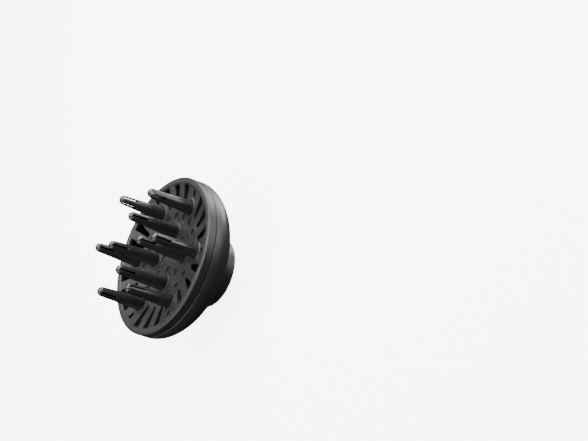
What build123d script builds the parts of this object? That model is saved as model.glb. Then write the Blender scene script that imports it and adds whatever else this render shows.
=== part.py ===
from build123d import *
import os
from math import cos, radians, sin, sqrt

# Dryer diffuser, millimetres. +Z runs along the axis towards the finger tips.
# The origin is the centre of the neck's rear end face, so the part stands on its neck.

# Overall
RIM_R = 61.0               # outer radius at the front rim
RIM_Z = 49.0               # plane of the flat front ring
RING_IN_R = 56.7           # inner edge of the flat front ring
LIP_ROUND = 1.3            # rounded outer lip of the rim
SEAM_Z = 42.3              # parting line between grille and rear housing
SEAM_GAP = 0.5
SEAM_CHAMFER = 0.35
CUT_PAST = 10.0            # how far a cut runs past the solid it opens

# Dished face of the grille
DISH_R = 56.2
DISH_EDGE_Z = 48.4
DISH_FLOOR_Z = 39.8
FACE_T = 2.6
DISH_SPHERE_R = (DISH_R**2 + (DISH_EDGE_Z - DISH_FLOOR_Z)**2) / (2 * (DISH_EDGE_Z - DISH_FLOOR_Z))
DISH_CENTRE_Z = DISH_FLOOR_Z + DISH_SPHERE_R

# Skirt of the grille, which snaps inside the housing
SKIRT_OUT_R = 58.7
SKIRT_IN_R = 57.0
SKIRT_END_Z = 36.9
BEAD_Z = 38.6
BEAD_H = 0.45
BEAD_HALF = 0.9
SNAP_CLEAR = 0.35
SKIRT_STEP = 0.6           # drop from the back of the face to the inside of the skirt

# Slots of the face
RIB_W = 6.8                # width of the ribs between two long slots
SLOT_PITCH = 15.0          # degrees
LONG_IN_R, LONG_OUT_R = 38.6, 55.6
SHORT_IN_R, SHORT_OUT_R = 49.8, 54.6
SHORT_IN_W, SHORT_OUT_W = 3.0, 4.0
SLOT_ROUND = 0.8

# Round dimples of the face: (pitch radius, count, first angle)
DIMPLE_R = 3.2
DIMPLE_DEPTH = 1.3
DIMPLE_CUT_LIFT = 4.0
DIMPLE_RINGS = [(31.5, 18, 10.0), (17.5, 4, 45.0), (9.6, 4, 0.0)]

# Fingers
OUTER_RING_R, OUTER_COUNT = 41.0, 6
INNER_RING_R, INNER_COUNT = 20.3, 4
FINGER_BASE_R = 5.4
FINGER_TIP_R = 3.5
FINGER_TAPER_Z = 42.0      # start of the taper
FINGER_DOME_Z = 78.1       # centre of the domed tip
FINGER_WALL = 1.3
FLANGE_R = 7.2
FLANGE_Z, FLANGE_T = 35.2, 1.3
TIP_SLOT_W, TIP_SLOT_L = 1.5, 5.2
TIP_SLOT_Z = 67.4
TIP_SLOT_END_Z = 80.1
TIP_SLOT_COUNT = 4
COLLAR_R = 6.9
COLLAR_H = 0.7
SOCKET_R = 5.6
PLAY = 0.1                 # gap along Z between stacked pieces
SOCKET_END_Z = FLANGE_Z + FLANGE_T + PLAY

# Retainer, deflector and screws
RETAINER_T = 2.0
RETAINER_Z = FLANGE_Z - PLAY - RETAINER_T
RETAINER_R = 36.6
RETAINER_CHAMFER = 0.4
LOBE_R = 8.6
FEED_R = 3.7
SCREW_RING_R = 33.0
SCREW_COUNT = 3
SCREW_START = 30.0
POST_R = 3.0
POST_END_Z = RETAINER_Z + RETAINER_T + PLAY
SCREW_SHANK_R = 1.3
SCREW_FIT = 0.03
SCREW_CLEAR_R = 1.6
SCREW_TOP_Z = 40.0
SCREW_HOLE_SPARE = 0.3
HEAD_R, HEAD_H = 2.7, 1.7
HEAD_GAP = 0.05
HEAD_CHAMFER = 0.5
RECESS_R, RECESS_W, RECESS_DEPTH = 1.5, 0.7, 0.9
ARM_T = 1.6
ARM_W = 6.5
ARM_OVERLAP = 2.0          # length of an arm inside the cone's rim
ARM_Z = RETAINER_Z - PLAY - ARM_T
CONE_R = 19.0
CONE_APEX_Z = 26.2
CONE_WALL = 1.6
CONE_RIM_W, CONE_RIM_T = 4.0, 1.4

# Rear housing
WALL = 2.0
SIDE_R = 61.1
BELLY_R, BELLY_Z = 61.2, 38.8
BELL_POINTS = [(59.0, 31.2), (51.2, 23.0), (38.6, 15.3), (30.2, 10.2)]
NECK_R = 27.5
NECK_TOP_Z = 6.8
NECK_WALL = 2.2
NECK_CHAMFER, NECK_IN_CHAMFER = 0.5, 0.3
NECK_IN_STEP = 0.4         # the duct narrows this much below the outer flare

# Snap tabs of the neck
TAB_W = 9.4
TAB_GAP = 0.8
TAB_ROOT_Z = 8.9
TAB_ROOT_GAP = 0.3
TAB_END_Z = 0.5
TAB_RIDGE_Z = 2.3
TAB_RIDGE_H = 0.2
TAB_RIDGE_HALF = 0.8
TAB_RIDGE_ROOT = 1.0       # depth of the ridge inside the tongue


def dish_z(radius, lift=0.0):
    """Height of the dished face at a radius, measured `lift` above its front surface."""
    return DISH_CENTRE_Z - sqrt((DISH_SPHERE_R - lift)**2 - radius**2)


def polar(radius, angle):
    return (radius * cos(radians(angle)), radius * sin(radians(angle)))


def ring_points(radius, count, start=0.0):
    return [polar(radius, start + k * 360 / count) for k in range(count)]


FINGER_SPOTS = [(OUTER_RING_R, k * 360 / OUTER_COUNT) for k in range(OUTER_COUNT)]
FINGER_SPOTS += [(INNER_RING_R, k * 360 / INNER_COUNT) for k in range(INNER_COUNT)]
FINGER_POINTS = [polar(r, a) for r, a in FINGER_SPOTS]
SCREW_POINTS = ring_points(SCREW_RING_R, SCREW_COUNT, SCREW_START)


def dish_slab(low_lift, high_lift, flat_z=None):
    """Solid of revolution under the dished face, between two offsets of it or down to a flat."""
    with BuildPart() as slab:
        with BuildSketch(Plane.XZ):
            with BuildLine():
                top = ThreePointArc((0, dish_z(0, high_lift)),
                                    (DISH_R / 2, dish_z(DISH_R / 2, high_lift)),
                                    (DISH_R, dish_z(DISH_R, high_lift)))
                if flat_z is None:
                    low = ThreePointArc((DISH_R, dish_z(DISH_R, low_lift)),
                                        (DISH_R / 2, dish_z(DISH_R / 2, low_lift)),
                                        (0, dish_z(0, low_lift)))
                else:
                    low = Line((DISH_R, flat_z), (0, flat_z))
                Line(top @ 1, low @ 0)
                Line(low @ 1, top @ 0)
            make_face()
        revolve(axis=Axis.Z)
    return slab.part


def columns_under_face(points, radius, low_z, lift):
    """Round columns at the given points, from a flat up to an offset of the dished face."""
    with BuildPart() as columns:
        add(dish_slab(0, lift, flat_z=low_z))
        with BuildSketch(Plane.XY):
            with Locations(*points):
                Circle(radius)
        extrude(amount=RIM_Z + CUT_PAST, mode=Mode.INTERSECT)
    return columns.part


def dimple_cutters():
    with BuildPart() as cutters:
        add(dish_slab(-DIMPLE_DEPTH, DIMPLE_CUT_LIFT))
        with BuildSketch(Plane.XY):
            for radius, count, start in DIMPLE_RINGS:
                with Locations(*ring_points(radius, count, start)):
                    Circle(DIMPLE_R)
        extrude(amount=RIM_Z + CUT_PAST, mode=Mode.INTERSECT)
    return cutters.part


def wedge_slot(in_r, out_r, in_w, out_w):
    Polygon((in_r, -in_w / 2), (out_r, -out_w / 2), (out_r, out_w / 2), (in_r, in_w / 2), align=None)


def slot_width(radius):
    """Width of a long slot where ribs of constant width are left between the slots."""
    return 2 * radius * sin(radians(SLOT_PITCH / 2)) - RIB_W


def make_front_grille():
    with BuildPart() as front_grille:
        with BuildSketch(Plane.XZ):
            with BuildLine():
                face = ThreePointArc((0, DISH_FLOOR_Z), (DISH_R / 2, dish_z(DISH_R / 2)),
                                     (DISH_R, DISH_EDGE_Z))
                Line(face @ 1, (RING_IN_R, RIM_Z))
                Line((RING_IN_R, RIM_Z), (RIM_R - LIP_ROUND, RIM_Z))
                RadiusArc((RIM_R - LIP_ROUND, RIM_Z), (RIM_R, RIM_Z - LIP_ROUND), LIP_ROUND)
                wall_low = SEAM_Z + SEAM_GAP / 2
                Polyline((RIM_R, RIM_Z - LIP_ROUND), (SIDE_R, wall_low + SEAM_CHAMFER),
                         (SIDE_R - SEAM_CHAMFER, wall_low), (SKIRT_OUT_R, wall_low),
                         (SKIRT_OUT_R, BEAD_Z + BEAD_HALF), (SKIRT_OUT_R + BEAD_H, BEAD_Z),
                         (SKIRT_OUT_R, BEAD_Z - BEAD_HALF), (SKIRT_OUT_R, SKIRT_END_Z),
                         (SKIRT_IN_R, SKIRT_END_Z), (SKIRT_IN_R, dish_z(DISH_R, -FACE_T) - SKIRT_STEP),
                         (DISH_R, dish_z(DISH_R, -FACE_T)))
                ThreePointArc((DISH_R, dish_z(DISH_R, -FACE_T)),
                              (DISH_R / 2, dish_z(DISH_R / 2, -FACE_T)), (0, dish_z(0, -FACE_T)))
                Line((0, dish_z(0, -FACE_T)), (0, DISH_FLOOR_Z))
            make_face()
        revolve(axis=Axis.Z)
        # long wedge slots between the finger directions, short ones in line with the outer fingers
        with BuildSketch(Plane.XY.offset(SKIRT_END_Z)) as slots:
            for start in (SLOT_PITCH, 2 * SLOT_PITCH, 3 * SLOT_PITCH):
                with PolarLocations(0, OUTER_COUNT, start_angle=start):
                    wedge_slot(LONG_IN_R, LONG_OUT_R, slot_width(LONG_IN_R), slot_width(LONG_OUT_R))
            with PolarLocations(0, OUTER_COUNT):
                wedge_slot(SHORT_IN_R, SHORT_OUT_R, SHORT_IN_W, SHORT_OUT_W)
            fillet(slots.vertices(), SLOT_ROUND)
        extrude(amount=RIM_Z, mode=Mode.SUBTRACT)
        # finger sockets with raised collars, and posts for the screws
        add(columns_under_face(FINGER_POINTS, COLLAR_R, SOCKET_END_Z, COLLAR_H))
        add(columns_under_face(SCREW_POINTS, POST_R, POST_END_Z, -FACE_T / 2))
        with BuildSketch(Plane.XY):
            with Locations(*FINGER_POINTS):
                Circle(SOCKET_R)
        extrude(amount=RIM_Z + CUT_PAST, mode=Mode.SUBTRACT)
        with BuildSketch(Plane.XY):
            with Locations(*SCREW_POINTS):
                Circle(SCREW_SHANK_R + SCREW_FIT)
        extrude(amount=SCREW_TOP_Z + SCREW_HOLE_SPARE, mode=Mode.SUBTRACT)
        add(dimple_cutters(), mode=Mode.SUBTRACT)
    front_grille.part.label = "front_grille"
    return front_grille.part


def make_finger(number, radius, angle):
    """Hollow tapered finger, flanged at its base and slotted at its domed tip."""
    x, y = polar(radius, angle)
    outward = (cos(radians(angle)), sin(radians(angle)), 0)
    across = (sin(radians(angle)), -cos(radians(angle)), 0)
    dome_z, bore_tip_r = FINGER_DOME_Z, FINGER_TIP_R - FINGER_WALL
    with BuildPart() as finger:
        with BuildSketch(Plane(origin=(x, y, 0), x_dir=outward, z_dir=across)):
            with BuildLine():
                Polyline((FINGER_BASE_R - FINGER_WALL, FLANGE_Z), (FLANGE_R, FLANGE_Z),
                         (FLANGE_R, FLANGE_Z + FLANGE_T), (FINGER_BASE_R, FLANGE_Z + FLANGE_T),
                         (FINGER_BASE_R, FINGER_TAPER_Z), (FINGER_TIP_R, dome_z))
                RadiusArc((FINGER_TIP_R, dome_z), (0, dome_z + FINGER_TIP_R), -FINGER_TIP_R)
                Line((0, dome_z + FINGER_TIP_R), (0, dome_z + bore_tip_r))
                RadiusArc((0, dome_z + bore_tip_r), (bore_tip_r, dome_z), bore_tip_r)
                Polyline((bore_tip_r, dome_z), (FINGER_BASE_R - FINGER_WALL, FINGER_TAPER_Z),
                         (FINGER_BASE_R - FINGER_WALL, FLANGE_Z))
            make_face()
        revolve(axis=Axis((x, y, 0), (0, 0, 1)))
        with BuildSketch(Plane(origin=(x, y, TIP_SLOT_Z), x_dir=outward, z_dir=(0, 0, 1))):
            with PolarLocations(FINGER_TIP_R, TIP_SLOT_COUNT):
                Rectangle(TIP_SLOT_L, TIP_SLOT_W)
        extrude(amount=TIP_SLOT_END_Z - TIP_SLOT_Z, mode=Mode.SUBTRACT)
    finger.part.label = f"finger_{number:02d}"
    return finger.part


def make_finger_retainer():
    with BuildPart() as finger_retainer:
        with BuildSketch(Plane.XY.offset(RETAINER_Z)):
            Circle(RETAINER_R)
            with Locations(*ring_points(OUTER_RING_R, OUTER_COUNT)):
                Circle(LOBE_R)
            with Locations(*FINGER_POINTS):
                Circle(FEED_R, mode=Mode.SUBTRACT)
            with Locations(*SCREW_POINTS):
                Circle(SCREW_CLEAR_R, mode=Mode.SUBTRACT)
        extrude(amount=RETAINER_T)
        chamfer(finger_retainer.faces().sort_by(Axis.Z)[0].outer_wire().edges(), RETAINER_CHAMFER)
    finger_retainer.part.label = "finger_retainer"
    return finger_retainer.part


def make_air_deflector():
    hollow_r = CONE_R - CONE_RIM_W
    arm_l = SCREW_RING_R - CONE_R + ARM_OVERLAP
    with BuildPart() as air_deflector:
        with BuildSketch(Plane.XZ):
            with BuildLine():
                Polyline((0, CONE_APEX_Z), (CONE_R, ARM_Z), (CONE_R, ARM_Z + ARM_T),
                         (0, ARM_Z + ARM_T), (0, CONE_APEX_Z))
            make_face()
        revolve(axis=Axis.Z)
        # hollow towards the retainer
        with BuildSketch(Plane.XZ):
            with BuildLine():
                Polyline((0, CONE_APEX_Z + CONE_WALL), (hollow_r, ARM_Z + ARM_T - CONE_RIM_T),
                         (hollow_r, ARM_Z + ARM_T), (0, ARM_Z + ARM_T), (0, CONE_APEX_Z + CONE_WALL))
            make_face()
        revolve(axis=Axis.Z, mode=Mode.SUBTRACT)
        with BuildSketch(Plane.XY.offset(ARM_Z)):
            with PolarLocations(SCREW_RING_R - arm_l / 2, SCREW_COUNT, start_angle=SCREW_START):
                Rectangle(arm_l, ARM_W)
            with Locations(*SCREW_POINTS):
                Circle(ARM_W / 2)
        extrude(amount=ARM_T)
        with BuildSketch(Plane.XY.offset(ARM_Z)):
            with Locations(*SCREW_POINTS):
                Circle(SCREW_CLEAR_R)
        extrude(amount=ARM_T, mode=Mode.SUBTRACT)
    air_deflector.part.label = "air_deflector"
    return air_deflector.part


def make_retainer_screws():
    head_z = ARM_Z - HEAD_GAP - HEAD_H
    with BuildPart() as retainer_screws:
        with BuildSketch(Plane.XY.offset(head_z)):
            with Locations(*SCREW_POINTS):
                Circle(HEAD_R)
        extrude(amount=HEAD_H)
        chamfer(retainer_screws.faces().sort_by(Axis.Z)[:SCREW_COUNT].edges(), HEAD_CHAMFER)
        with BuildSketch(Plane.XY.offset(head_z + HEAD_H)):
            with Locations(*SCREW_POINTS):
                Circle(SCREW_SHANK_R)
        extrude(amount=SCREW_TOP_Z - head_z - HEAD_H)
        # cross recess
        with BuildSketch(Plane.XY.offset(head_z)):
            with Locations(*SCREW_POINTS):
                Rectangle(2 * RECESS_R, RECESS_W)
                Rectangle(RECESS_W, 2 * RECESS_R)
        extrude(amount=RECESS_DEPTH, mode=Mode.SUBTRACT)
    retainer_screws.part.label = "retainer_screws"
    return retainer_screws.part


def bell_outline():
    return [(BELLY_R, BELLY_Z)] + BELL_POINTS + [(NECK_R, NECK_TOP_Z)]


def inset(points, thickness):
    """Points moved inward from a falling outline, square to the line through their neighbours."""
    moved = []
    for k, (r, z) in enumerate(points):
        r0, z0 = points[max(k - 1, 0)] if 0 < k < len(points) - 1 else (r, z + 1)
        r1, z1 = points[k + 1] if 0 < k < len(points) - 1 else (r, z - 1)
        length = sqrt((r1 - r0)**2 + (z1 - z0)**2)
        moved.append((r + (z1 - z0) / length * thickness, z - (r1 - r0) / length * thickness))
    return moved


def bell_shell():
    """Shell of revolution of the housing: side wall, shoulder and neck."""
    outer = bell_outline()
    inner = inset(outer, WALL)
    neck_in_r = NECK_R - NECK_WALL
    inner[-1] = (neck_in_r, NECK_TOP_Z - NECK_IN_STEP)
    wall_top = SEAM_Z - SEAM_GAP / 2
    side_in_r = SIDE_R - WALL
    groove_r = SKIRT_OUT_R + BEAD_H + SNAP_CLEAR
    with BuildPart() as shell:
        with BuildSketch(Plane.XZ):
            with BuildLine():
                Polyline((side_in_r, wall_top), (SIDE_R - SEAM_CHAMFER, wall_top),
                         (SIDE_R, wall_top - SEAM_CHAMFER), outer[0])
                Spline(*outer, tangents=[(0, -1), (0, -1)])
                Polyline(outer[-1], (NECK_R, NECK_CHAMFER), (NECK_R - NECK_CHAMFER, 0),
                         (neck_in_r + NECK_IN_CHAMFER, 0), (neck_in_r, NECK_IN_CHAMFER), inner[-1])
                Spline(*reversed(inner), tangents=[(0, 1), (0, 1)])
                Polyline(inner[0], (groove_r, BEAD_Z + BEAD_HALF), (side_in_r, BEAD_Z + 2 * BEAD_HALF),
                         (side_in_r, wall_top))
            make_face()
        revolve(axis=Axis.Z)
    return shell.part


def make_rear_housing():
    with BuildPart() as rear_housing:
        add(bell_shell())
        # notches that free the snap tabs
        notch_top = TAB_ROOT_Z + TAB_ROOT_GAP
        with BuildSketch(Plane.XZ.offset(-NECK_R - CUT_PAST)):
            with Locations((0, notch_top)):
                Rectangle(TAB_W + 2 * TAB_GAP, notch_top + CUT_PAST, align=(Align.CENTER, Align.MAX))
        extrude(amount=2 * (NECK_R + CUT_PAST), mode=Mode.SUBTRACT)
    rear_housing.part.label = "rear_housing"
    return rear_housing.part


def make_snap_tab(name, side):
    """Tongue cut from the neck wall on the +Y (side 1) or -Y (side -1) flank, with a catch ridge."""
    with BuildPart() as snap_tab:
        add(bell_shell())
        with BuildSketch(Plane.XZ):
            with BuildLine():
                Polyline((NECK_R, TAB_RIDGE_Z - TAB_RIDGE_HALF), (NECK_R + TAB_RIDGE_H, TAB_RIDGE_Z),
                         (NECK_R, TAB_RIDGE_Z + TAB_RIDGE_HALF), (NECK_R - TAB_RIDGE_ROOT, TAB_RIDGE_Z),
                         (NECK_R, TAB_RIDGE_Z - TAB_RIDGE_HALF))
            make_face()
        revolve(axis=Axis.Z)
        with BuildSketch(Plane.XY.offset(TAB_END_Z)):
            with Locations((0, side * NECK_R)):
                Rectangle(TAB_W, CUT_PAST)
        extrude(amount=TAB_ROOT_Z - TAB_END_Z, mode=Mode.INTERSECT)
    snap_tab.part.label = name
    return snap_tab.part


def main():
    os.makedirs("parts", exist_ok=True)
    pieces = [make_rear_housing(), make_front_grille(), make_finger_retainer(), make_air_deflector(),
              make_retainer_screws(), make_snap_tab("snap_tab_upper", 1),
              make_snap_tab("snap_tab_lower", -1)]
    pieces += [make_finger(k + 1, r, a) for k, (r, a) in enumerate(FINGER_SPOTS)]
    for piece in pieces:
        export_step(piece, f"parts/{piece.label}.step")
        print(piece.label, len(piece.solids()), round(piece.volume, 1), piece.bounding_box().size)


main()
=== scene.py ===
import math

import bmesh
import bpy
import numpy as np
from mathutils import Matrix, Quaternion, Vector, kdtree
from mathutils.geometry import delaunay_2d_cdt


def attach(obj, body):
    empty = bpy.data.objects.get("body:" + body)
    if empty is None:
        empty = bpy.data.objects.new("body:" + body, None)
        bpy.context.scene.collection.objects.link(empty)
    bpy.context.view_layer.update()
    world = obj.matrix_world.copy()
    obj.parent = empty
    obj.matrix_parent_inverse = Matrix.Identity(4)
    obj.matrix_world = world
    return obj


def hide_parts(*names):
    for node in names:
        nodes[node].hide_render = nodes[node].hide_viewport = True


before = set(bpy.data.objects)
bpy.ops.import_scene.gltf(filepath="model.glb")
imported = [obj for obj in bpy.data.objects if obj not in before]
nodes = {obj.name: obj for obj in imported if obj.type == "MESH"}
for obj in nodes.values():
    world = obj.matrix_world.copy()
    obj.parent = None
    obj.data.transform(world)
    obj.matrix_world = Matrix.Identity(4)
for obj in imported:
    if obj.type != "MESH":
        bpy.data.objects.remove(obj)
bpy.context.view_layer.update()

MM = 0.001

# Camera: the point it aims at in metres, and where it stands round that point in degrees and metres
AIM = Vector((0.1569, 0.0090, 0.0498))
CAMERA_AZIMUTH = -19.40
CAMERA_ELEVATION = 34.80
CAMERA_ROLL = 67.85
CAMERA_DISTANCE = 0.6203
LENS_MM = 61.22
CAMERA_NEAR, CAMERA_FAR = 0.01, 20.0


def direction(azimuth, elevation):
    """Unit vector towards a compass angle from +X and a height above the horizon, in degrees."""
    a, e = math.radians(azimuth), math.radians(elevation)
    return Vector((math.cos(a) * math.cos(e), math.sin(a) * math.cos(e), math.sin(e)))


def make_camera():
    back = direction(CAMERA_AZIMUTH, CAMERA_ELEVATION)
    data = bpy.data.cameras.new("camera")
    data.lens = LENS_MM
    data.clip_start, data.clip_end = CAMERA_NEAR, CAMERA_FAR
    camera = bpy.data.objects.new("camera", data)
    bpy.context.scene.collection.objects.link(camera)
    camera.location = AIM + back * CAMERA_DISTANCE
    camera.rotation_mode = "QUATERNION"
    roll = Quaternion((0, 0, 1), math.radians(-CAMERA_ROLL))
    camera.rotation_quaternion = (-back).to_track_quat("-Z", "Y") @ roll
    bpy.context.scene.camera = camera


# Softboxes: name, direction from the object (azimuth, elevation in degrees), watts. "low" and "keel"
# shine up past the floor, which casts no shadow, as the lit table of a product shot does.
LAMPS = [
    ("side", 100.0, 20.0, 12.0),
    ("key", 66.0, 22.0, 4.5),
    ("front", 40.0, 50.0, 8.0),
    ("fill", -60.0, 20.0, 1.0),
    ("lip", -88.0, 45.0, 4.0),
    ("back", -120.0, 30.0, 1.8),
    ("top", 120.0, 75.0, 8.5),
    ("face", 160.0, 40.0, 0.8),
    ("low", 35.0, -18.0, 4.2),
    ("keel", 92.0, -34.0, 6.0),
]
LAMP_DISTANCE, LAMP_SIZE = 0.9, 0.5
LAMP_AIM = Vector((0.0, 0.0, 0.045))
ROOM_GLOW = 0.025


def make_lamps():
    for name, azimuth, elevation, watts in LAMPS:
        data = bpy.data.lights.new(name, "AREA")
        data.shape = "RECTANGLE"
        data.size = data.size_y = LAMP_SIZE
        data.energy = watts
        lamp = bpy.data.objects.new(name, data)
        bpy.context.scene.collection.objects.link(lamp)
        away = direction(azimuth, elevation)
        lamp.location = LAMP_AIM + away * LAMP_DISTANCE
        lamp.rotation_mode = "QUATERNION"
        lamp.rotation_quaternion = away.to_track_quat("Z", "Y")
        lamp.visible_camera = False


def make_world():
    world = bpy.data.worlds.new("studio")
    bpy.context.scene.world = world
    world.use_nodes = True
    background = world.node_tree.nodes["Background"]
    background.inputs["Color"].default_value = (1, 1, 1, 1)
    background.inputs["Strength"].default_value = ROOM_GLOW


# Sizes of the noises that make up the plastic, per metre: larger is finer
CLOUD_SCALE, FLOW_SCALE, HANDLING_SCALE, GRAIN_SCALE, SINK_SCALE = 60.0, 170.0, 28.0, 4200.0, 90.0
FLOW_STRETCH = (1.0, 1.0, 0.25)
BODY_PALER = 1.35          # the clouds' pale end against their dark end
EDGE_WEAR_AND_HIGHLIGHT_PALER = 3.0           # edges paled by handling wear and by a painted highlight, against the plain surface
EDGE_POINTINESS = (0.505, 0.56)
FLOW_DULLS = 0.05
SINK_DEPTH = 0.05          # mm


class Nodes:
    """Short way to add and join shader nodes."""

    def __init__(self, name):
        self.material = bpy.data.materials.new(name)
        self.material.use_nodes = True
        self.tree = self.material.node_tree
        self.shader = self.tree.nodes["Principled BSDF"]
        self.place = self.add("ShaderNodeTexCoord").outputs["Object"]

    def add(self, kind, **values):
        node = self.tree.nodes.new(kind)
        for key, value in values.items():
            setattr(node, key, value)
        return node

    def put(self, node, **inputs):
        for key, value in inputs.items():
            socket = node.inputs[key.replace("_", " ")]
            if hasattr(value, "is_output"):
                self.tree.links.new(value, socket)
            else:
                socket.default_value = value
        return node

    def noise(self, scale, detail=2.0, roughness=0.5, stretch=None):
        place = self.place
        if stretch:
            mapping = self.put(self.add("ShaderNodeMapping"), Vector=place, Scale=stretch)
            place = mapping.outputs["Vector"]
        node = self.put(self.add("ShaderNodeTexNoise"), Vector=place, Scale=scale,
                        Detail=detail, Roughness=roughness)
        return node.outputs["Fac"]

    def remap(self, value, low, high, to_low, to_high):
        node = self.add("ShaderNodeMapRange", clamp=True)
        self.put(node, Value=value, From_Min=low, From_Max=high, To_Min=to_low, To_Max=to_high)
        return node.outputs["Result"]

    def mix(self, share, first, second):
        node = self.add("ShaderNodeMix", data_type="RGBA")
        factor, a, b = (node.inputs[i] for i in (0, 6, 7))
        self.tree.links.new(share, factor)
        self.tree.links.new(first, a)
        b.default_value = second
        return node.outputs[2]

    def ramp(self, value, stops):
        node = self.put(self.add("ShaderNodeValToRGB"), Fac=value)
        elements = node.color_ramp.elements
        while len(elements) < len(stops):
            elements.new(0.5)
        for element, (position, colour) in zip(elements, stops):
            element.position = position
            element.color = (*colour, 1.0)
        return node.outputs["Color"]


def moulded_plastic(name, shade, roughness, grain, ior=1.5):
    """Black injection-moulded plastic: spark-eroded grain of the given depth in mm, faint flow
    clouds, and convex edges made paler, partly as handling wear and partly as a painted highlight."""
    n = Nodes(name)
    clouds = n.noise(CLOUD_SCALE, 4.0, 0.6)
    flow = n.noise(FLOW_SCALE, 3.0, 0.5, stretch=FLOW_STRETCH)
    handling = n.noise(HANDLING_SCALE, 3.0, 0.55)
    # Convex edges are made paler in the base colour: partly handling wear, partly a painted edge
    # highlight.
    pointiness = n.add("ShaderNodeNewGeometry").outputs["Pointiness"]
    edges = n.remap(pointiness, *EDGE_POINTINESS, 0.0, 1.0)
    wear_and_highlight_mask = n.put(n.add("ShaderNodeMath", operation="MULTIPLY"))
    n.tree.links.new(edges, wear_and_highlight_mask.inputs[0])
    n.tree.links.new(n.remap(clouds, 0.35, 0.6, 0.4, 1.0), wear_and_highlight_mask.inputs[1])
    body = n.ramp(clouds, [(0.3, shade), (0.75, tuple(c * BODY_PALER for c in shade))])
    wear_and_highlight_tone = tuple(c * EDGE_WEAR_AND_HIGHLIGHT_PALER for c in shade)
    n.put(n.shader, Base_Color=n.mix(wear_and_highlight_mask.outputs["Value"], body, (*wear_and_highlight_tone, 1.0)), Metallic=0.0, IOR=ior)
    sheen = n.remap(handling, 0.3, 0.7, roughness - 0.05, roughness + 0.06)
    dull = n.put(n.add("ShaderNodeMath", operation="MULTIPLY_ADD"))
    n.tree.links.new(flow, dull.inputs[0])
    dull.inputs[1].default_value = FLOW_DULLS
    n.tree.links.new(sheen, dull.inputs[2])
    n.put(n.shader, Roughness=dull.outputs["Value"])
    grains = n.put(n.add("ShaderNodeBump"), Height=n.noise(GRAIN_SCALE, 3.0, 0.65), Strength=0.35,
                   Distance=grain * MM)
    sinks = n.put(n.add("ShaderNodeBump"), Height=n.noise(SINK_SCALE, 2.0, 0.5), Strength=0.25,
                  Distance=SINK_DEPTH * MM, Normal=grains.outputs["Normal"])
    n.put(n.shader, Normal=sinks.outputs["Normal"])
    return n.material


def zinc(name):
    """Zinc-plated steel with turned marks and a dull passivated cloud."""
    n = Nodes(name)
    clouds = n.noise(700.0, 3.0, 0.6)
    shade = n.ramp(clouds, [(0.3, (0.48, 0.49, 0.5)), (0.7, (0.66, 0.66, 0.65))])
    n.put(n.shader, Base_Color=shade, Metallic=1.0, Roughness=n.remap(clouds, 0.3, 0.7, 0.24, 0.4))
    marks = n.noise(3000.0, 2.0, 0.5, stretch=(1.0, 1.0, 6.0))
    bump = n.put(n.add("ShaderNodeBump"), Height=marks, Strength=0.3, Distance=0.00003)
    n.put(n.shader, Normal=bump.outputs["Normal"])
    return n.material


# Dimensions in millimetres and degrees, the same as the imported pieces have
RIM_R, RIM_Z, LIP_ROUND, RING_IN_R = 61.0, 49.0, 1.3, 56.7
RING_CROWN = 0.12          # the flat ring is very slightly domed
SIDE_R, SEAM_Z, SEAM_GAP, SEAM_CHAMFER = 61.1, 42.3, 0.5, 0.35
DISH_R, DISH_EDGE_Z, DISH_FLOOR_Z, FACE_T = 56.2, 48.4, 39.8, 2.6
DISH_SPHERE_R = (DISH_R**2 + (DISH_EDGE_Z - DISH_FLOOR_Z)**2) / (2 * (DISH_EDGE_Z - DISH_FLOOR_Z))
SKIRT_OUT_R, SKIRT_IN_R, SKIRT_END_Z, SKIRT_STEP = 58.7, 57.0, 36.9, 0.6
BEAD_Z, BEAD_H, BEAD_HALF, SNAP_CLEAR = 38.6, 0.45, 0.9, 0.35
RIB_W, SLOT_PITCH, SLOT_ROUND = 6.8, 15.0, 0.8
LONG_SLOT_R, SHORT_SLOT_R, SHORT_SLOT_W = (38.6, 55.6), (49.8, 54.6), (3.0, 4.0)
DIMPLE_R, DIMPLE_DEPTH = 3.2, 1.3
DIMPLE_RINGS = [(31.5, 18, 10.0), (17.5, 4, 45.0), (9.6, 4, 0.0)]
FINGER_RINGS = [(41.0, 6), (20.3, 4)]
COLLAR_R, COLLAR_H, SOCKET_R, SOCKET_END_Z = 6.9, 0.7, 5.6, 36.6
POST_RING, POST_R, POST_END_Z, SCREW_HOLE_R, SCREW_HOLE_Z = (33.0, 3, 30.0), 3.0, 35.2, 1.33, 40.3
FLANGE_R, FLANGE_Z, FLANGE_T = 7.2, 35.2, 1.3
FINGER_BASE_R, FINGER_TIP_R, FINGER_WALL = 5.4, 3.5, 1.3
FINGER_TAPER_Z, FINGER_DOME_Z = 42.0, 78.1
TIP_SLOT_W, TIP_SLOT_Z, TIP_SLOT_END_Z, TIP_SLOT_IN_END_Z = 1.5, 67.4, 80.1, 79.4
BELL = [(61.18, 38.8), (59.0, 31.2), (51.2, 23.0), (38.6, 15.3), (30.2, 10.2), (27.5, 6.8)]
BELL_PULLS, BORE_PULLS = (1.2, 2.4), (1.4, 3.0)
WALL, NECK_R, NECK_WALL, NECK_IN_STEP, NECK_CHAMFER, NECK_IN_CHAMFER = 2.0, 27.5, 2.2, 0.4, 0.5, 0.3
NOTCH_W, NOTCH_TOP_Z = 11.0, 9.2
TAB_W, TAB_ROOT_Z, TAB_END_Z = 9.4, 8.9, 0.5
TAB_RIDGE_Z, TAB_RIDGE_H, TAB_RIDGE_HALF = 2.3, 0.2, 0.8

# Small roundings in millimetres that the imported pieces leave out
EDGE_ROUND, EDGE_STEPS = 0.25, 3                 # mouths of the holes
CORNER_R, CORNER_MID = 0.25, 0.07                # foot of a collar, floor of a dimple
COLLAR_ROUND, COLLAR_ROUND_MID = 0.2, 0.06       # outer edge of a collar
FACE_BEVEL, HOUSING_BEVEL, TAB_BEVEL, FINGER_BEVEL = 0.15, 0.18, 0.15, 0.16

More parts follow.
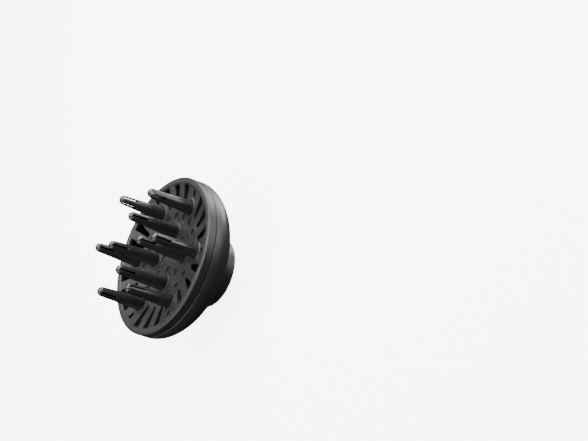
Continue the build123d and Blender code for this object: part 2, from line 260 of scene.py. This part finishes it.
# Fineness of the meshes: steps round a circle or along a curve, and spacings in millimetres
RIM_STEPS, LIP_STEPS = 240, 8
SOCKET_STEPS, DIMPLE_STEPS, POST_STEPS = 48, 40, 32
WEDGE_CORNER_STEPS, WEDGE_PITCH = 5, 1.6
FILL_PITCH, FILL_ROW, FILL_CLEAR = 3.0, 0.866, 0.95
CURVE_STEPS, LEVEL_CLEAR = 9, 0.4
NOTCH_COLUMNS, NECK_COLUMNS, TAB_COLUMNS = 12, 108, 10
NECK_ROW_Z, NECK_IN_ROW_Z = 3.6, 3.4             # a row of points half way down the neck
SLOT_COLUMNS, WALL_COLUMNS = 3, 6                # of a finger, across a slot and between two slots
SAME_Z = 1e-6


def dish_z(radius, lift=0.0):
    return DISH_FLOOR_Z + DISH_SPHERE_R - math.sqrt((DISH_SPHERE_R - lift)**2 - radius**2)


def polar(radius, degrees):
    return Vector((radius * math.cos(math.radians(degrees)), radius * math.sin(math.radians(degrees))))


class Shell:
    """Points in millimetres and the faces between them."""

    def __init__(self):
        self.points, self.faces = [], []

    def loop(self, points):
        first = len(self.points)
        self.points += [tuple(p) for p in points]
        return list(range(first, len(self.points)))

    def strips(self, loops):
        for a, b in zip(loops, loops[1:]):
            for k in range(len(a)):
                m = (k + 1) % len(a)
                self.faces.append((a[k], a[m], b[m], b[k]))

    def cap(self, loop, centre):
        (middle,) = self.loop([centre])
        for k in range(len(loop)):
            self.faces.append((loop[k], loop[(k + 1) % len(loop)], middle))

    def make(self, name, material):
        """The mesh as an object, in metres, with its faces all turned outwards."""
        mesh = bpy.data.meshes.new(name)
        mesh.from_pydata([tuple(c * MM for c in p) for p in self.points], [], self.faces)
        work = bmesh.new()
        work.from_mesh(mesh)
        bmesh.ops.recalc_face_normals(work, faces=work.faces)
        work.to_mesh(mesh)
        work.free()
        mesh.shade_smooth()
        mesh.materials.append(material)
        made = bpy.data.objects.new(name, mesh)
        bpy.context.scene.collection.objects.link(made)
        return made


def stand_in(piece, node_name, body="body"):
    """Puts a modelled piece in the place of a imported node."""
    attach(piece, body)
    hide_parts(node_name)


def round_edges(piece, width_mm, sharper_than=30.0):
    bevel = piece.modifiers.new("rounded edges", "BEVEL")
    bevel.width = width_mm * MM
    bevel.segments = EDGE_STEPS
    bevel.limit_method = "ANGLE"
    bevel.angle_limit = math.radians(sharper_than)
    bevel.use_clamp_overlap = True
    bevel.harden_normals = True


def keep_flats_flat(piece):
    normals = piece.modifiers.new("weighted normals", "WEIGHTED_NORMAL")
    normals.keep_sharp = False
    normals.weight = 80


def soften(profile, radius=EDGE_ROUND):
    """A closed outline with each sharp corner turned into a small curve."""
    softened = []
    for k, point in enumerate(profile):
        p = Vector(point)
        back, ahead = Vector(profile[k - 1]) - p, Vector(profile[(k + 1) % len(profile)]) - p
        if back.angle(ahead) > math.radians(160):
            softened.append(p)
            continue
        reach = min(radius, 0.45 * back.length, 0.45 * ahead.length)
        start, end = p + back.normalized() * reach, p + ahead.normalized() * reach
        for j in range(EDGE_STEPS + 1):
            t = j / EDGE_STEPS
            softened.append(start * (1 - t)**2 + p * (2 * t * (1 - t)) + end * t**2)
    return softened


# Front grille

def circle_outline(centre, radius, steps):
    """Points of a circle, each with the direction that leads away from its centre."""
    rays = [polar(1.0, 360 * k / steps) for k in range(steps)]
    return [(centre + ray * radius, ray) for ray in rays]


def wedge_outline(ends, widths, degrees):
    """Points of a wedge slot with round corners, each with its outward direction."""
    low, high = ends
    corners = [Vector(c) for c in ((low, -widths[0] / 2), (high, -widths[1] / 2),
                                   (high, widths[1] / 2), (low, widths[0] / 2))]
    arcs = []
    for k in range(4):
        p = corners[k]
        back, ahead = (corners[k - 1] - p).normalized(), (corners[(k + 1) % 4] - p).normalized()
        half = back.angle(ahead) / 2
        centre = p + (back + ahead).normalized() * (SLOT_ROUND / math.sin(half))
        reach = SLOT_ROUND / math.tan(half)
        first = (p + back * reach - centre).normalized()
        last = (p + ahead * reach - centre).normalized()
        rays = [first.lerp(last, j / WEDGE_CORNER_STEPS).normalized()
                for j in range(WEDGE_CORNER_STEPS + 1)]
        arcs.append([(centre + ray * SLOT_ROUND, ray) for ray in rays])
    outline = []
    for k in range(4):
        (start, ray), (end, _) = arcs[k][-1], arcs[(k + 1) % 4][0]
        pieces = max(2, round((end - start).length / WEDGE_PITCH))
        outline += arcs[k] + [(start.lerp(end, j / pieces), ray) for j in range(1, pieces)]
    turn = Matrix.Rotation(math.radians(degrees), 2)
    return [(turn @ p, turn @ ray) for p, ray in outline]


def ring_of(radius, count, start=0.0):
    return [polar(radius, start + 360 * k / count) for k in range(count)]


def edge_levels(out, lift, side):
    """Rounded edge at the mouth of a hole, as (outward offset, lift) from the face into the hole.
    The side is the front (1) or the back (-1) of the face."""
    turns = [math.pi / 2 * k / EDGE_STEPS for k in range(EDGE_STEPS + 1)]
    return [(out + EDGE_ROUND * (1 - math.sin(t)), lift - side * EDGE_ROUND * (1 - math.cos(t)))
            for t in turns]


class Face:
    """One skin of the dished face, with the loops where walls pass through it."""

    def __init__(self, shell, lift):
        self.shell, self.lift, self.loops = shell, lift, []

    def fill(self):
        """Triangles between the loops, with a fine even spread of points."""
        flat, indices, outlines = [], [], []
        for loop in self.loops:
            outlines.append(range(len(flat), len(flat) + len(loop)))
            flat += [Vector(self.shell.points[i][:2]) for i in loop]
            indices += loop
        tree = kdtree.KDTree(len(flat))
        for k, p in enumerate(flat):
            tree.insert((*p, 0.0), k)
        tree.balance()
        rows = int(DISH_R / FILL_PITCH * 1.2)
        for i in range(-rows, rows + 1):
            for j in range(-rows, rows + 1):
                p = Vector(((i + 0.5 * (j % 2)) * FILL_PITCH, j * FILL_PITCH * FILL_ROW))
                if p.length < DISH_R and tree.find((*p, 0.0))[2] > FILL_CLEAR:
                    indices += self.shell.loop([(*p, dish_z(p.length, self.lift))])
                    flat.append(p)
        triangles = delaunay_2d_cdt(flat, [], outlines, 2, 1e-6)[2]
        self.shell.faces += [tuple(indices[i] for i in t) for t in triangles]


def add_hole(shell, outline, levels):
    """Wall loops through the face; a level is (outward offset, lift above the dish or None, z)."""
    loops = []
    for out, lift, *flat_z in levels:
        points = [p + ray * out for p, ray in outline]
        loops.append(shell.loop([(*p, flat_z[0] if flat_z else dish_z(p.length, lift))
                                 for p in points]))
    shell.strips(loops)
    return loops


def grille_rim():
    """Outline of the rim from the edge of the dish, over the ring and round the skirt."""
    low_z = SEAM_Z + SEAM_GAP / 2
    end = (DISH_R, dish_z(DISH_R, -FACE_T))
    turns = [math.pi / 2 * k / LIP_STEPS for k in range(LIP_STEPS + 1)]
    ring = [(RING_IN_R + 0.1, RIM_Z - 0.25), (RING_IN_R + 0.35, RIM_Z - RING_CROWN),
            (58.2, RIM_Z), (59.0, RIM_Z - 0.02)]
    lip = [(RIM_R - LIP_ROUND * (1 - math.sin(t)), RIM_Z - 0.06 - LIP_ROUND * (1 - math.cos(t)))
           for t in turns]
    side = soften([(RIM_R, RIM_Z - LIP_ROUND - 1), (SIDE_R, low_z + SEAM_CHAMFER),
                   (SIDE_R - SEAM_CHAMFER, low_z), (SKIRT_OUT_R, low_z),
                   (SKIRT_OUT_R, BEAD_Z + BEAD_HALF), (SKIRT_OUT_R + BEAD_H, BEAD_Z),
                   (SKIRT_OUT_R, BEAD_Z - BEAD_HALF), (SKIRT_OUT_R, SKIRT_END_Z),
                   (SKIRT_IN_R, SKIRT_END_Z), (SKIRT_IN_R, dish_z(DISH_R, -FACE_T) - SKIRT_STEP),
                   end])
    ends = EDGE_STEPS + 1
    return [(DISH_R, DISH_EDGE_Z)] + ring + lip + side[ends:-ends] + [end]


def make_grille(material):
    shell = Shell()
    front, back = Face(shell, 0.0), Face(shell, -FACE_T)
    rim = [shell.loop([(r * c, r * s, z) for c, s in ring_of(1.0, RIM_STEPS)]) for r, z in grille_rim()]
    shell.strips(rim)
    front.loops.append(rim[0])
    back.loops.append(rim[-1])
    front_edge, back_edge = edge_levels(0, 0.0, 1), edge_levels(0, -FACE_T, -1)[::-1]
    widths = [2 * r * math.sin(math.radians(SLOT_PITCH / 2)) - RIB_W for r in LONG_SLOT_R]
    for k in range(24):
        long_slot = k % 4 != 0
        outline = wedge_outline(LONG_SLOT_R if long_slot else SHORT_SLOT_R,
                                widths if long_slot else SHORT_SLOT_W, k * SLOT_PITCH)
        loops = add_hole(shell, outline, front_edge + back_edge)
        front.loops.append(loops[0])
        back.loops.append(loops[-1])
    for radius, count in FINGER_RINGS:
        for centre in ring_of(radius, count):
            mouth, wall = edge_levels(0, COLLAR_H, 1), COLLAR_R - SOCKET_R
            levels = [(wall + CORNER_R, 0.0), (wall + CORNER_MID, CORNER_MID), (wall, CORNER_R),
                      (wall, COLLAR_H - COLLAR_ROUND),
                      (wall - COLLAR_ROUND_MID, COLLAR_H - COLLAR_ROUND_MID),
                      (wall - COLLAR_ROUND, COLLAR_H)] + mouth
            levels += [(0, None, SOCKET_END_Z), (wall, None, SOCKET_END_Z), (wall, -FACE_T)]
            loops = add_hole(shell, circle_outline(centre, SOCKET_R, SOCKET_STEPS), levels)
            front.loops.append(loops[0])
            back.loops.append(loops[-1])
    for radius, count, start in DIMPLE_RINGS:
        for centre in ring_of(radius, count, start):
            foot = [(-CORNER_MID, -DIMPLE_DEPTH + CORNER_MID), (-CORNER_R, -DIMPLE_DEPTH)]
            levels = front_edge + [(0, -DIMPLE_DEPTH + CORNER_R)] + foot
            loops = add_hole(shell, circle_outline(centre, DIMPLE_R, DIMPLE_STEPS), levels)
            shell.cap(loops[-1], (*centre, dish_z(centre.length, -DIMPLE_DEPTH)))
            front.loops.append(loops[0])
    for centre in ring_of(*POST_RING):
        levels = [(0, -FACE_T), (0, None, POST_END_Z), (SCREW_HOLE_R - POST_R, None, POST_END_Z),
                  (SCREW_HOLE_R - POST_R, None, SCREW_HOLE_Z)]
        loops = add_hole(shell, circle_outline(centre, POST_R, POST_STEPS), levels)
        shell.cap(loops[-1], (*centre, SCREW_HOLE_Z))
        back.loops.append(loops[0])
    front.fill()
    back.fill()
    piece = shell.make("grille_face", material)
    round_edges(piece, FACE_BEVEL, sharper_than=50.0)
    keep_flats_flat(piece)
    stand_in(piece, "front_grille")


# Rear housing

def smooth_through(points, steps, pulls):
    """A cubic curve through (radius, z) points, held upright at both ends with the given pulls."""
    points = [np.array(p) for p in points]
    spans = [np.linalg.norm(b - a) for a, b in zip(points, points[1:])]
    last = len(points) - 1
    left, right = np.eye(last + 1), np.zeros((last + 1, 2))
    up = np.sign(points[last][1] - points[0][1])
    right[0], right[last] = (0, up * pulls[0]), (0, up * pulls[1])
    for k in range(1, last):
        before, after = spans[k - 1], spans[k]
        left[k, k - 1:k + 2] = (1 / before, 2 / before + 2 / after, 1 / after)
        right[k] = (3 * (points[k] - points[k - 1]) / before**2
                    + 3 * (points[k + 1] - points[k]) / after**2)
    slopes = np.linalg.solve(left, right)
    curve = []
    for k, span in enumerate(spans):
        for t in np.arange(steps) / steps:
            curve.append(points[k] * (1 + 2 * t) * (1 - t)**2 + points[k + 1] * t**2 * (3 - 2 * t)
                         + span * (slopes[k] * t * (1 - t)**2 - slopes[k + 1] * t**2 * (1 - t)))
    return [tuple(p) for p in curve] + [tuple(points[last])]


def inset(points):
    """The bell's points moved inward by the wall, square to the line through their neighbours."""
    moved = []
    for k, (r, z) in enumerate(points):
        inner = 0 < k < len(points) - 1
        r0, z0 = points[k - 1] if inner else (r, z + 1)
        r1, z1 = points[k + 1] if inner else (r, z - 1)
        length = math.hypot(r1 - r0, z1 - z0)
        moved.append((r + (z1 - z0) / length * WALL, z - (r1 - r0) / length * WALL))
    return moved


def with_level(curve, level):
    """A curve of (radius, z) points with a point where it crosses a height, clear of its neighbours."""
    for k, ((r0, z0), (r1, z1)) in enumerate(zip(curve, curve[1:])):
        if (z0 - level) * (z1 - level) < 0:
            crossing = (r0 + (level - z0) / (z1 - z0) * (r1 - r0), level)
            before = [p for p in curve[:k + 1] if math.dist(p, crossing) > LEVEL_CLEAR]
            after = [p for p in curve[k + 1:] if math.dist(p, crossing) > LEVEL_CLEAR]
            return before + [crossing] + after
    return curve


def housing_profile():
    """Outer wall downwards, neck end, then the inner wall upwards."""
    neck_in_r, top_z, side_in_r = NECK_R - NECK_WALL, SEAM_Z - SEAM_GAP / 2, SIDE_R - WALL
    groove_r = SKIRT_OUT_R + BEAD_H + SNAP_CLEAR
    inner = inset(BELL)
    inner[-1] = (neck_in_r, BELL[-1][1] - NECK_IN_STEP)
    outside = [(SIDE_R - SEAM_CHAMFER, top_z), (SIDE_R, top_z - SEAM_CHAMFER)]
    outside += with_level(smooth_through(BELL, CURVE_STEPS, BELL_PULLS), NOTCH_TOP_Z)
    outside += [(NECK_R, NECK_ROW_Z), (NECK_R, NECK_CHAMFER), (NECK_R - NECK_CHAMFER, 0.0)]
    inside = [(neck_in_r + NECK_IN_CHAMFER, 0.0), (neck_in_r, NECK_IN_CHAMFER),
              (neck_in_r, NECK_IN_ROW_Z)]
    inside += with_level(smooth_through(inner[::-1], CURVE_STEPS, BORE_PULLS), NOTCH_TOP_Z)
    inside += [(groove_r, BEAD_Z + BEAD_HALF), (side_in_r, BEAD_Z + 2 * BEAD_HALF), (side_in_r, top_z)]
    return outside, inside


def make_housing(material):
    outside, inside = housing_profile()
    profile = outside + inside
    across, round_steps = NOTCH_COLUMNS, NECK_COLUMNS
    shell, loops = Shell(), []
    for r, z in profile:
        half = math.degrees(math.asin(NOTCH_W / 2 / r))
        turns = [90 + half * (2 * k / across - 1) for k in range(across)]
        turns += [90 + half + (180 - 2 * half) * k / round_steps for k in range(round_steps)]
        turns += [t + 180 for t in turns]
        loops.append(shell.loop([(*polar(r, t), z) for t in turns]))
    notch = {side + k for side in (0, across + round_steps) for k in range(across)}
    rows = len(profile)
    for j in range(rows):
        low, high = loops[j], loops[(j + 1) % rows]
        open_here = max(profile[j][1], profile[(j + 1) % rows][1]) <= NOTCH_TOP_Z + SAME_Z
        for k in range(len(low)):
            m = (k + 1) % len(low)
            if not (open_here and k in notch):
                shell.faces.append((low[k], low[m], high[m], high[k]))
    cut = [j for j in range(rows) if profile[j][1] <= NOTCH_TOP_Z + SAME_Z]
    for first in (0, across + round_steps):
        for k in (first, first + across):
            shell.faces.append(tuple(loops[j][k] for j in cut))
        for k in range(first, first + across):
            a, b = loops[cut[0]], loops[cut[-1]]
            shell.faces.append((a[k], a[k + 1], b[k + 1], b[k]))
    piece = shell.make("housing_bell", material)
    round_edges(piece, HOUSING_BEVEL)
    stand_in(piece, "rear_housing")


def make_snap_tab(name, side_degrees, material, body):
    """Tongue in a notch of the neck, with a low catch ridge near its free end."""
    outside, inside = housing_profile()
    neck_in_r = NECK_R - NECK_WALL
    outer = with_level([p for p in outside if NECK_ROW_Z <= p[1] < NOTCH_TOP_Z + 2], TAB_ROOT_Z)
    inner = with_level([p for p in inside if NECK_IN_ROW_Z <= p[1] < NOTCH_TOP_Z + 2], TAB_ROOT_Z)
    profile = [p for p in outer if p[1] <= TAB_ROOT_Z]
    profile += [(NECK_R, TAB_RIDGE_Z + TAB_RIDGE_HALF), (NECK_R + TAB_RIDGE_H, TAB_RIDGE_Z),
                (NECK_R, TAB_RIDGE_Z - TAB_RIDGE_HALF), (NECK_R, TAB_END_Z), (neck_in_r, TAB_END_Z)]
    profile += [p for p in inner if p[1] <= TAB_ROOT_Z]
    shell, across, loops = Shell(), TAB_COLUMNS, []
    for r, z in profile:
        half = math.degrees(math.asin(TAB_W / 2 / r))
        loops.append(shell.loop([(*polar(r, side_degrees + half * (2 * k / across - 1)), z)
                                 for k in range(across + 1)]))
    for low, high in zip(loops, loops[1:] + loops[:1]):
        for k in range(across):
            shell.faces.append((low[k], low[k + 1], high[k + 1], high[k]))
    for k in (0, across):
        shell.faces.append(tuple(loop[k] for loop in loops))
    piece = shell.make(f"{name}_tongue", material)
    round_edges(piece, TAB_BEVEL)
    stand_in(piece, name, body)


# Fingers

def finger_profiles():
    """Outer and inner walls from the foot to the tip, as (radius, z)."""
    bore_r, tip_bore_r = FINGER_BASE_R - FINGER_WALL, FINGER_TIP_R - FINGER_WALL
    flange_top = FLANGE_Z + FLANGE_T

    def wall(foot_r, tip_r, slot_end):
        slope = (tip_r - foot_r) / (FINGER_DOME_Z - FINGER_TAPER_Z)
        heights = [FINGER_TAPER_Z, 48, 54, 60, 65, TIP_SLOT_Z, 70, 72.7, 75.4, FINGER_DOME_Z]
        points = [(foot_r + slope * (z - FINGER_TAPER_Z), z) for z in heights]
        slot_turn = math.asin((slot_end - FINGER_DOME_Z) / tip_r)
        turns = [slot_turn * k / 4 for k in range(1, 5)]
        turns += [slot_turn + (math.pi / 2 - slot_turn) * k / 5 for k in range(1, 5)]
        return points + [(tip_r * math.cos(t), FINGER_DOME_Z + tip_r * math.sin(t)) for t in turns]

    outside = [(bore_r, FLANGE_Z), (FLANGE_R, FLANGE_Z), (FLANGE_R, flange_top),
               (FINGER_BASE_R, flange_top)]
    return (outside + wall(FINGER_BASE_R, FINGER_TIP_R, TIP_SLOT_END_Z),
            wall(bore_r, tip_bore_r, TIP_SLOT_IN_END_Z))


def make_finger(number, centre, degrees, material):
    """Hollow tapered finger with a flange at its foot and four slots through its domed tip."""
    shell = Shell()
    across, between = SLOT_COLUMNS, WALL_COLUMNS
    walls = []
    for profile, slot_end in zip(finger_profiles(), (TIP_SLOT_END_Z, TIP_SLOT_IN_END_Z)):
        loops = []
        for r, z in profile:
            half = math.degrees(math.asin(min(0.45, TIP_SLOT_W / 2 / r)))
            turns = []
            for quarter in range(4):
                middle = degrees + 90 * quarter
                turns += [middle + half * (2 * k / across - 1) for k in range(across)]
                turns += [middle + half + (90 - 2 * half) * k / between for k in range(between)]
            loops.append(shell.loop([(*(centre + polar(r, t)), z) for t in turns]))
        walls.append((profile, loops, slot_end))
    columns = len(walls[0][1][0])
    slot_columns = {q * (across + between) + k for q in range(4) for k in range(across)}
    rims = []
    for profile, loops, slot_end in walls:
        low = min(j for j, (r, z) in enumerate(profile) if abs(z - TIP_SLOT_Z) < SAME_Z)
        high = min(j for j, (r, z) in enumerate(profile) if abs(z - slot_end) < SAME_Z)
        rims.append((low, high, loops))
        for j, (a, b) in enumerate(zip(loops, loops[1:])):
            for k in range(columns):
                m = (k + 1) % columns
                if not (low <= j < high and k in slot_columns):
                    shell.faces.append((a[k], a[m], b[m], b[k]))
        tip_r, tip_z = profile[-1]
        shell.cap(loops[-1], (*centre, tip_z + tip_r * 0.05))
    shell.strips([walls[1][1][0], walls[0][1][0]])
    (low, high, outer), (in_low, in_high, inner) = rims
    for q in range(4):
        first = q * (across + between)
        for k in (first, first + across):
            for j in range(high - low):
                shell.faces.append((outer[low + j][k], outer[low + j + 1][k],
                                    inner[in_low + j + 1][k], inner[in_low + j][k]))
        for k in range(first, first + across):
            for j, i in ((low, in_low), (high, in_high)):
                shell.faces.append((outer[j][k], outer[j][k + 1], inner[i][k + 1], inner[i][k]))
    piece = shell.make(f"finger_tube_{number:02d}", material)
    round_edges(piece, FINGER_BEVEL)
    stand_in(piece, f"finger_{number:02d}")


def make_fingers(material):
    number = 0
    for radius, count in FINGER_RINGS:
        for k in range(count):
            number += 1
            degrees = 360 * k / count
            make_finger(number, polar(radius, degrees), degrees, material)


MATERIALS = {
    "housing": moulded_plastic("housing_plastic", (0.020, 0.020, 0.0205), 0.38, 0.05),
    "grille": moulded_plastic("grille_plastic", (0.014, 0.014, 0.0145), 0.40, 0.06),
    "finger": moulded_plastic("finger_plastic", (0.011, 0.011, 0.0115), 0.29, 0.01, ior=1.6),
    "inner": moulded_plastic("inner_plastic", (0.016, 0.016, 0.0165), 0.50, 0.07),
    "screw": zinc("zinc_plate"),
}


def dress_cad_nodes():
    """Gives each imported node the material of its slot."""
    for node in nodes.values():
        name = node.data.materials[0].name.split(".")[0]
        node.data.materials[0] = MATERIALS[name]


# Floor, in metres
FLOOR_GLOW = 6.0           # a lit sweep, so the object's shadow stays pale
FLOOR_R, COVE_R, WALL_TOP = 2.0, 1.2, 3.0
FLOOR_STEPS, COVE_STEPS = 96, 12


def make_floor():
    """A pale round studio sweep: a flat floor that curves up into a wall all round."""
    turns = [math.pi / 2 * k / COVE_STEPS for k in range(COVE_STEPS + 1)]
    profile = [(NECK_R * MM, 0.0), (0.3, 0.0), (1.0, 0.0)]
    profile += [(FLOOR_R + COVE_R * math.sin(t), COVE_R * (1 - math.cos(t))) for t in turns]
    profile.append((FLOOR_R + COVE_R, WALL_TOP))
    shell = Shell()
    loops = [shell.loop([(x * r / MM, y * r / MM, z / MM) for x, y in ring_of(1.0, FLOOR_STEPS)])
             for r, z in profile]
    shell.strips(loops)
    shell.cap(loops[0], (0.0, 0.0, 0.0))
    n = Nodes("floor_paper")
    tone = n.noise(3.0, 3.0, 0.5)
    reach = n.add("ShaderNodeVectorMath", operation="LENGTH")
    n.tree.links.new(n.place, reach.inputs[0])
    lit = n.remap(reach.outputs["Value"], (NECK_R - 1.0) * MM, NECK_R * MM, 0.0, FLOOR_GLOW)
    paper = n.ramp(tone, [(0.3, (0.86, 0.86, 0.86)), (0.7, (0.9, 0.9, 0.9))])
    n.put(n.shader, Base_Color=paper, Roughness=0.9, Emission_Color=(1, 1, 1, 1),
          Emission_Strength=lit)
    floor = shell.make("floor", n.material)
    floor.visible_glossy = False
    floor.visible_diffuse = False
    floor.visible_shadow = False


make_camera()
make_lamps()
make_world()
dress_cad_nodes()
make_grille(MATERIALS["grille"])
make_housing(MATERIALS["housing"])
make_snap_tab("snap_tab_upper", 90, MATERIALS["housing"], "tab_upper")
make_snap_tab("snap_tab_lower", -90, MATERIALS["housing"], "tab_lower")
make_fingers(MATERIALS["finger"])
make_floor()
